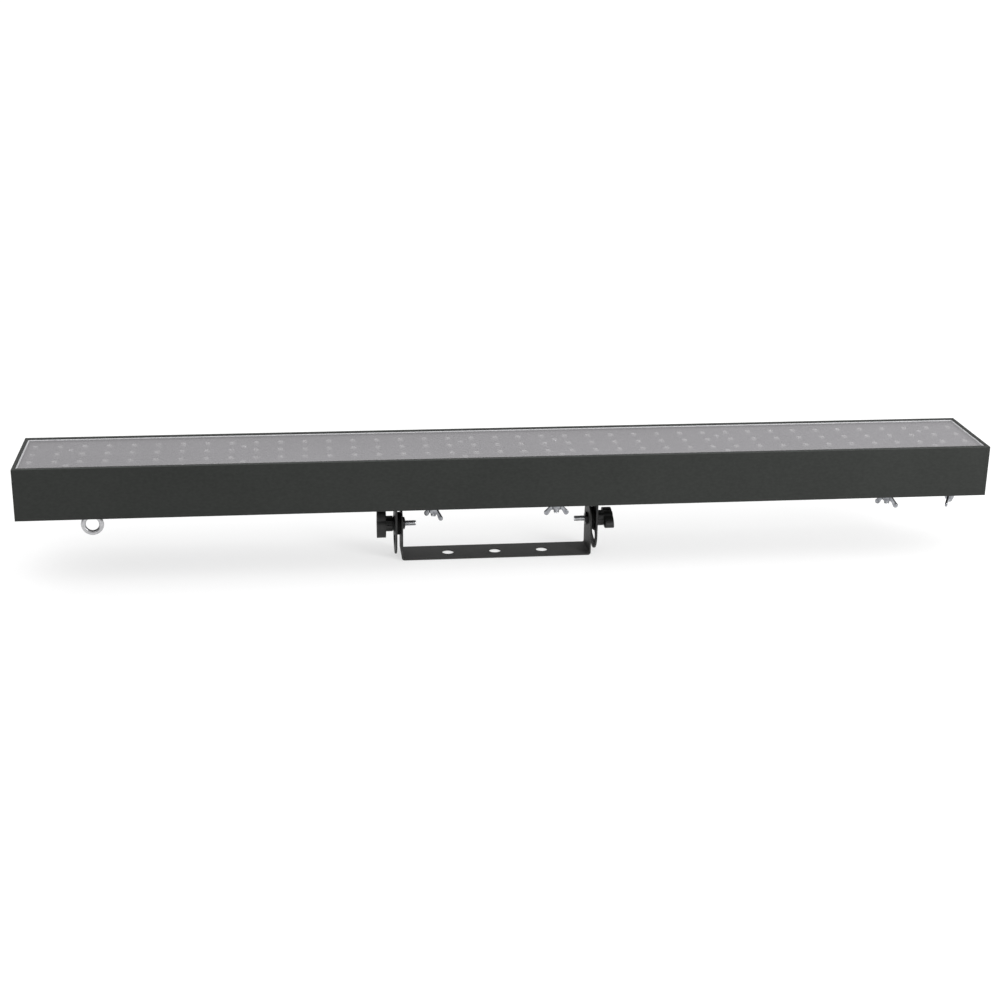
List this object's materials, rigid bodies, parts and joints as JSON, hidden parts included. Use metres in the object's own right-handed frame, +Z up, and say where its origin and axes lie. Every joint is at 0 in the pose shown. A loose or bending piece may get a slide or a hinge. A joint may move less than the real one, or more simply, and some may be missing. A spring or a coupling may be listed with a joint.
{
  "type": "led strip batten",
  "caption": "Long rectangular LED batten with a recessed smoked diffuser, sliding tilt bracket, clamp knobs and a U-shaped floor or truss yoke.",
  "frame": {"origin": "underside of the yoke's strip, below the middle of the batten's length and depth; the strip's middle hole is 15 mm to its left", "axes": "+X along the batten to the right as seen from the front, +Y to the back, +Z up out of the diffuser"},
  "size_m": [0.998, 0.106, 0.121],
  "materials": {
    "black_housing": "satin powder coat over extruded aluminium",
    "black_bracket": "fine textured powder coat on folded steel",
    "grey_yoke": "satin black powder coat on folded steel",
    "smoked_acrylic": "satin smoked diffuser sheet",
    "circuit_board": "dark solder resist with fine traces",
    "led_package": "white package with a clear window",
    "zinc": "bright zinc plate",
    "aluminium_sheet": "mill finish",
    "supply_steel": "galvanised sheet",
    "green_board": "green solder resist",
    "black_plastic": "moulded glass-filled nylon",
    "blue_plastic": "moulded connector plastic",
    "grey_plastic": "moulded connector plastic",
    "display_glass": "glossy window",
    "button_rubber": "matte key cap",
    "brown_wire": "PVC insulation",
    "red_wire": "PVC insulation",
    "ribbon_cable": "flat ribbon",
    "dark_steel": "black zinc",
    "friction_rubber": "matte"
  },
  "bodies": {
    "yoke": {"yoke": "grey_yoke", "pivot_nut_left": "dark_steel", "pivot_nut_right": "dark_steel"},
    "bracket": {"mount_bracket": "black_bracket", "bracket_bolts": "zinc", "bracket_washers": "zinc", "bracket_wing_nuts": "zinc", "friction_disc_left": "friction_rubber", "friction_disc_right": "friction_rubber"},
    "knob_left": {"knob_left": "black_plastic", "knob_stud_left": "zinc", "knob_washer_left": "dark_steel"},
    "knob_right": {"knob_right": "black_plastic", "knob_stud_right": "zinc", "knob_washer_right": "dark_steel"},
    "link": {"link_plate": "black_bracket", "link_bolts": "zinc", "link_washers": "zinc", "link_wing_nuts": "zinc"},
    "fuse_cap": {"fuse_cap": "black_plastic"},
    "menu_button_1": {"menu_button_1": "button_rubber"},
    "menu_button_2": {"menu_button_2": "button_rubber"},
    "menu_button_3": {"menu_button_3": "button_rubber"},
    "menu_button_4": {"menu_button_4": "button_rubber"},
    "batten": {"housing": "black_housing", "end_cap_left": "black_housing", "end_cap_right": "black_housing", "end_cap_screws": "dark_steel", "diffuser": "smoked_acrylic", "led_board_left": "circuit_board", "led_board_right": "circuit_board", "led_packages_left": "led_package", "led_packages_right": "led_package", "led_board_screws": "zinc", "board_standoffs": "zinc", "carrier_plate": "aluminium_sheet", "power_supply_case": "supply_steel", "power_supply_board": "green_board", "power_supply_screws": "zinc", "control_board": "green_board", "control_board_spacers": "zinc", "control_panel": "black_plastic", "control_panel_screws": "dark_steel", "display_window": "display_glass", "power_inlet": "blue_plastic", "power_outlet": "grey_plastic", "data_input_socket": "black_plastic", "data_output_socket": "black_plastic", "socket_screws": "dark_steel", "fuse_holder": "black_plastic", "mains_wires": "brown_wire", "board_supply_wires": "red_wire", "data_ribbon": "ribbon_cable", "eye_bolt": "zinc", "eye_bolt_nut": "zinc"}
  },
  "joints": [
    {"name": "tilt", "type": "hinge", "parent": "yoke", "child": "bracket", "pos_m": [-0.015, 0, 0.035], "axis": [1, 0, 0], "range_deg": [-60, 60]},
    {"name": "bracket_slide", "type": "slide", "parent": "bracket", "child": "batten", "axis": [1, 0, 0], "range_m": [-0.08, 0.08]},
    {"name": "knob_left_turn", "type": "hinge", "parent": "yoke", "child": "knob_left", "pos_m": [-0.125, 0, 0.035], "axis": [-1, 0, 0], "range_deg": [0, 360]},
    {"name": "knob_right_turn", "type": "hinge", "parent": "yoke", "child": "knob_right", "pos_m": [0.095, 0, 0.035], "axis": [1, 0, 0], "range_deg": [0, 360]},
    {"name": "link_slide", "type": "slide", "parent": "batten", "child": "link", "axis": [1, 0, 0], "range_m": [-0.015, 0.064]},
    {"name": "fuse_cap_turn", "type": "hinge", "parent": "batten", "child": "fuse_cap", "pos_m": [-0.255, 0, 0.0675], "axis": [0, 0, 1], "range_deg": [0, 90]},
    {"name": "menu_button_1_press", "type": "slide", "parent": "batten", "child": "menu_button_1", "axis": [0, 0, 1], "range_m": [0, 0.0005], "stiffness_N_per_m": 600, "springref_m": -0.0005},
    {"name": "menu_button_2_press", "type": "slide", "parent": "batten", "child": "menu_button_2", "axis": [0, 0, 1], "range_m": [0, 0.0005], "stiffness_N_per_m": 600, "springref_m": -0.0005},
    {"name": "menu_button_3_press", "type": "slide", "parent": "batten", "child": "menu_button_3", "axis": [0, 0, 1], "range_m": [0, 0.0005], "stiffness_N_per_m": 600, "springref_m": -0.0005},
    {"name": "menu_button_4_press", "type": "slide", "parent": "batten", "child": "menu_button_4", "axis": [0, 0, 1], "range_m": [0, 0.0005], "stiffness_N_per_m": 600, "springref_m": -0.0005}
  ]
}
